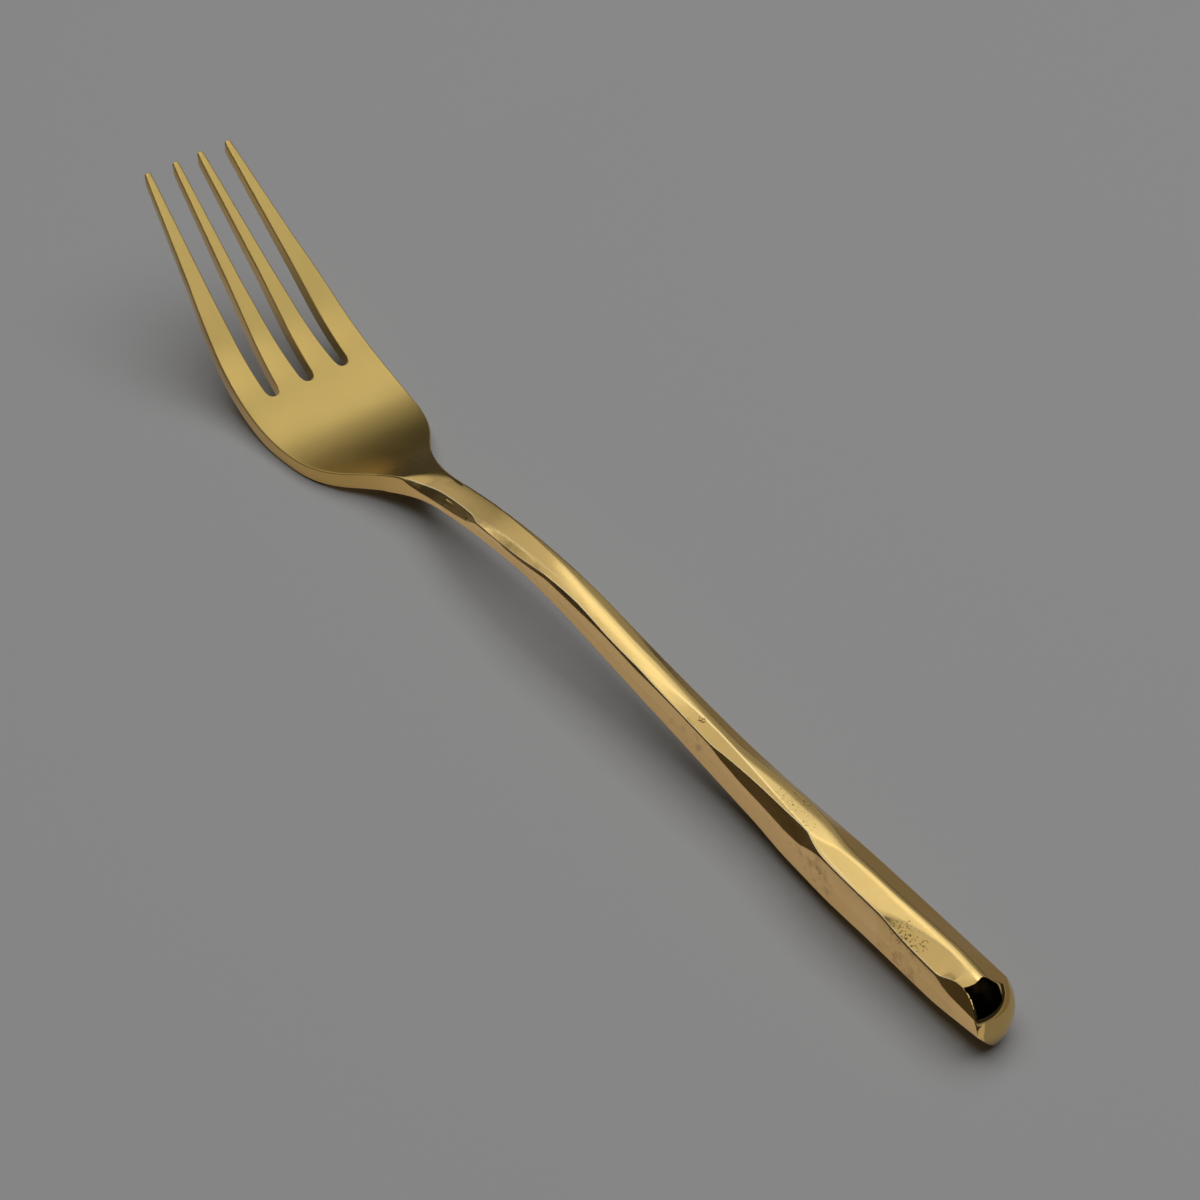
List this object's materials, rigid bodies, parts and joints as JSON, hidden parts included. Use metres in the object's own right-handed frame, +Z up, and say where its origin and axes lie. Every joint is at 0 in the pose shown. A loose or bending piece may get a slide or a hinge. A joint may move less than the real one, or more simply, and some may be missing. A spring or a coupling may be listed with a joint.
{
  "type": "dessert fork",
  "caption": "Dessert fork with tapering tines, a curved palm and a slim arched hollow handle, its upper edge hewn into flat leaves and its butt ending in a small dome.",
  "frame": {"origin": "middle of the fork's length and width, on the table plane that the heel and the butt touch", "axes": "+X from the tine tips to the butt, +Y across the tines, +Z up from the table"},
  "size_m": [0.1806, 0.0218, 0.0249],
  "materials": {
    "head_metal": "stainless steel with a satin gold coating",
    "shell_metal": "stainless steel with a polished gold coating, finely pitted on the hewn leaves",
    "cement": "set cement, unseen",
    "solder": "hard solder, unseen"
  },
  "bodies": {
    "root": {"fork_head": "head_metal", "upper_handle_shell": "shell_metal", "lower_handle_shell": "shell_metal", "handle_filler": "cement", "seam_solder": "solder"}
  },
  "joints": []
}
